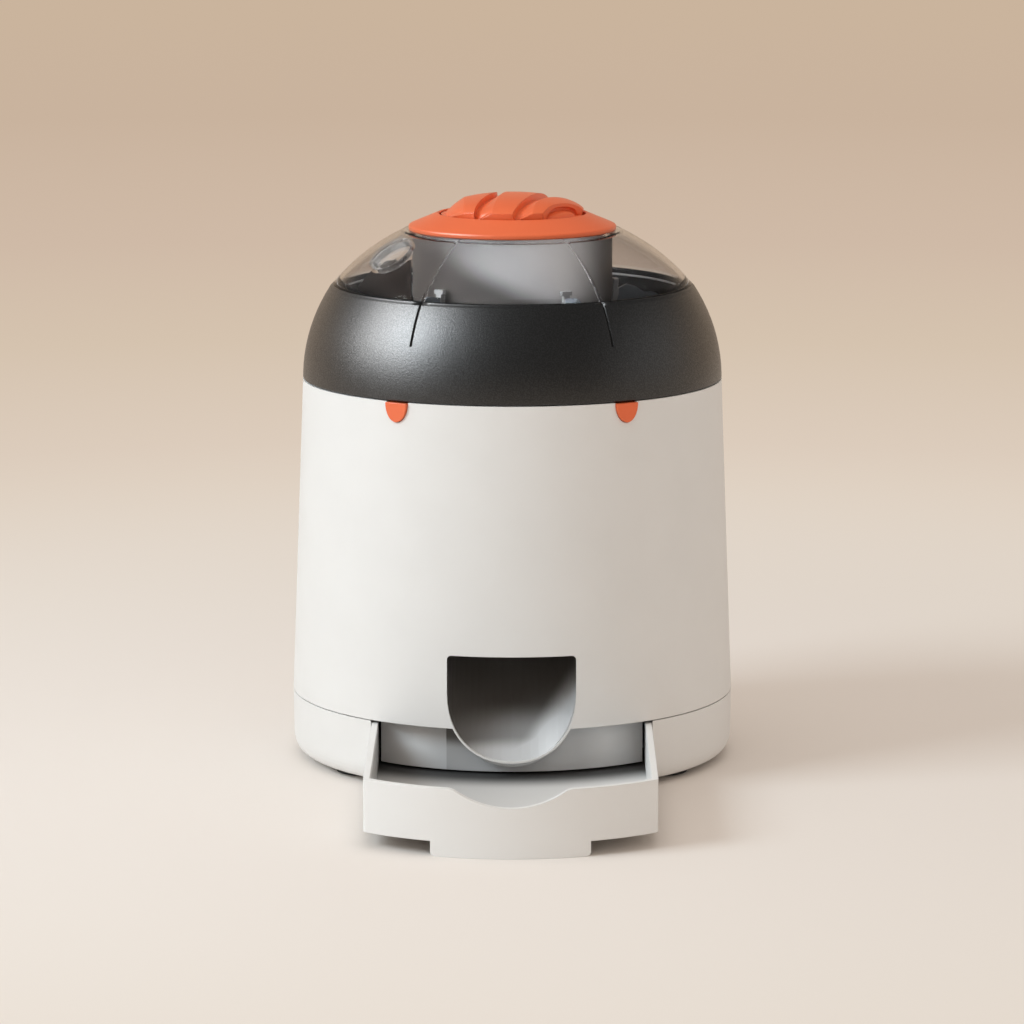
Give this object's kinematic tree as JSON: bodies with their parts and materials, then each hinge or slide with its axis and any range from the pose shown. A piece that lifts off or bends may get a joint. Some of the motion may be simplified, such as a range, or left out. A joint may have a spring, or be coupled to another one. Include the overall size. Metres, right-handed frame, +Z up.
{
  "type": "interactive treat dispenser",
  "caption": "Round treat dispenser with a clear domed lid, a ribbed push button, a chute mouth and a pull-out tray.",
  "frame": {"origin": "on the axis of the round body, in the plane that the feet stand on", "axes": "+Z up along the body's axis, -Y towards the front, where the tray slides out, +X to the right seen from the front"},
  "size_m": [0.218, 0.3359, 0.2791],
  "materials": {
    "white_shell": "white moulded plastic with a soft gloss",
    "light_grey": "light grey moulded plastic",
    "dark_grey": "dark grey moulded plastic",
    "black_satin": "black satin plastic with a fine grain",
    "black_plastic": "plain black plastic",
    "orange": "orange red plastic with a soft gloss",
    "clear": "clear plastic with a light warm grey tint",
    "smoky": "smoky translucent plastic",
    "dark_blade": "dark brown plastic",
    "nylon": "plain nylon",
    "steel": "plain steel",
    "rubber": "black rubber",
    "board_green": "green solder mask",
    "cell_green": "plain painted sleeve",
    "brass": "bare brass",
    "red_wire": "red insulation",
    "blue_wire": "blue insulation",
    "black_wire": "black insulation"
  },
  "bodies": {
    "root": {"base": "white_shell", "foot_front_left": "rubber", "foot_front_right": "rubber", "foot_rear_left": "rubber", "foot_rear_right": "rubber", "body_shell": "white_shell", "chassis": "dark_grey", "chute": "light_grey", "drop_tube": "black_satin", "hopper": "black_satin", "gear_deck": "dark_grey", "gear_motor": "steel", "micro_switch": "black_plastic", "switch_bracket": "steel", "circuit_board": "board_green", "board_parts": "black_plastic", "battery_box": "black_plastic", "cell_1": "cell_green", "cell_2": "cell_green", "cell_3": "cell_green", "cell_4": "cell_green", "cell_springs": "steel", "contact_strip": "brass", "battery_door": "white_shell", "door_screw": "steel", "base_screws": "steel", "chute_screws": "steel", "deck_screws": "steel", "motor_screws": "steel", "board_screws": "steel", "motor_leads": "red_wire", "switch_leads": "blue_wire", "battery_leads": "black_wire", "latch_spring_left": "steel", "latch_spring_right": "steel"},
    "lid": {"collar": "black_satin", "dome": "clear", "bezel": "orange", "drum": "smoky", "button_spring": "steel"},
    "button": {"ribbed_button": "orange", "push_rod": "nylon"},
    "cap": {"port_cap": "clear"},
    "rotor": {"rotor": "smoky", "rotor_shaft": "nylon", "drive_gear": "nylon", "shaft_clip": "steel", "stirrer_blade": "dark_blade"},
    "pinion": {"motor_shaft": "steel", "pinion": "nylon"},
    "tray": {"tray": "white_shell"},
    "latch_left": {"latch_left": "orange"},
    "latch_right": {"latch_right": "orange"}
  },
  "joints": [
    {"name": "lid_lift", "type": "slide", "parent": "root", "child": "lid", "axis": [0, 0, 1], "range_m": [0, 0.09]},
    {"name": "button_press", "type": "slide", "parent": "lid", "child": "button", "axis": [0, 0, -1], "range_m": [0, 0.004], "stiffness_N_per_m": 500, "springref_m": -0.003, "deforming": ["button_spring"]},
    {"name": "cap_pull", "type": "slide", "parent": "lid", "child": "cap", "axis": [-0.4815, -0.3127, 0.8188], "range_m": [0, 0.02]},
    {"name": "rotor_spin", "type": "hinge", "parent": "root", "child": "rotor", "pos_m": [0, 0, 0.2], "axis": [0, 0, 1], "continuous": true},
    {"name": "pinion_spin", "type": "hinge", "parent": "root", "child": "pinion", "pos_m": [0, 0.04, 0.18], "axis": [0, 0, 1], "continuous": true},
    {"name": "tray_slide", "type": "slide", "parent": "root", "child": "tray", "axis": [0, 1, 0], "range_m": [0, 0.1147]},
    {"name": "latch_left_press", "type": "slide", "parent": "root", "child": "latch_left", "axis": [0.527, 0.8499, 0], "range_m": [0, 0.0015], "stiffness_N_per_m": 800, "springref_m": -0.002, "deforming": ["latch_spring_left"]},
    {"name": "latch_right_press", "type": "slide", "parent": "root", "child": "latch_right", "axis": [-0.527, 0.8499, 0], "range_m": [0, 0.0015], "stiffness_N_per_m": 800, "springref_m": -0.002, "deforming": ["latch_spring_right"]}
  ],
  "couplings": [
    {"joint": "pinion_spin", "follows": "rotor_spin", "ratio": -3}
  ]
}
